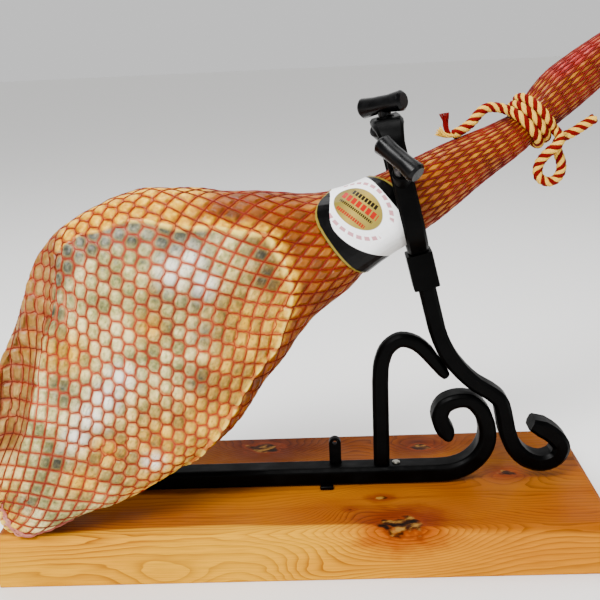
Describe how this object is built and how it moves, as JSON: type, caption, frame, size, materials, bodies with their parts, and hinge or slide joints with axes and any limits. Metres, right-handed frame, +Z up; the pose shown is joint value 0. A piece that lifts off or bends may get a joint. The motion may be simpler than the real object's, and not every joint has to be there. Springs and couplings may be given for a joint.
{
  "type": "cured ham on stand",
  "caption": "Whole cured ham in a red net, its shank clamped by three T-screws in a forged black iron stand on an oiled wooden board, tied with a red and cream rope.",
  "frame": {"origin": "middle of the board's underside, where it rests on the table", "axes": "+X along the board from the ham's butt towards its foot, +Y from the ham's front towards its back, +Z up"},
  "size_m": [0.6414, 0.2222, 0.5062],
  "materials": {
    "wood": "satin",
    "iron": "satin",
    "screw_steel": "satin",
    "knob_plastic": "satin",
    "ham": "satin",
    "label": "satin",
    "rope": "matte"
  },
  "bodies": {
    "stand": {"board": "wood", "rail": "iron", "column": "iron", "arch_bar": "iron", "sleeve": "iron", "head": "iron", "rail_lug": "iron", "rail_tab": "iron", "rail_screw_left": "screw_steel", "rail_screw_right": "screw_steel", "ham": "ham", "label_band": "label", "rope_wraps": "rope", "rope_tail": "rope", "rope_loop": "rope", "rope_end": "rope"},
    "top_spindle": {"top_spindle": "screw_steel"},
    "top_knob": {"top_knob": "knob_plastic"},
    "front_spindle": {"front_spindle": "screw_steel"},
    "front_knob": {"front_knob": "knob_plastic"},
    "rear_spindle": {"rear_spindle": "screw_steel"},
    "rear_knob": {"rear_knob": "knob_plastic"}
  },
  "joints": [
    {"name": "front_slide", "type": "slide", "parent": "stand", "child": "front_spindle", "axis": [-0.1435, -0.766, 0.6266], "range_m": [0, 0.0041]},
    {"name": "front_turn", "type": "hinge", "parent": "front_spindle", "child": "front_knob", "pos_m": [0.10475, -0.04325, 0.37905], "axis": [-0.1435, -0.766, 0.6266], "range_deg": [0, 720]},
    {"name": "rear_slide", "type": "slide", "parent": "stand", "child": "rear_spindle", "axis": [-0.1435, 0.766, 0.6266], "range_m": [0, 0.0041]},
    {"name": "rear_turn", "type": "hinge", "parent": "rear_spindle", "child": "rear_knob", "pos_m": [0.10475, 0.03125, 0.37905], "axis": [-0.1435, 0.766, 0.6266], "range_deg": [0, 720]},
    {"name": "top_slide", "type": "slide", "parent": "stand", "child": "top_spindle", "axis": [-0.2233, 0, 0.9748], "range_m": [0, 0.0041]},
    {"name": "top_turn", "type": "hinge", "parent": "top_spindle", "child": "top_knob", "pos_m": [0.09487, -0.006, 0.42218], "axis": [-0.2233, 0, 0.9748], "range_deg": [0, 720]}
  ],
  "couplings": [
    {"joint": "front_slide", "follows": "front_turn", "m_per_rad": 0.00031831},
    {"joint": "rear_slide", "follows": "rear_turn", "m_per_rad": 0.00031831},
    {"joint": "top_slide", "follows": "top_turn", "m_per_rad": 0.00031831}
  ]
}
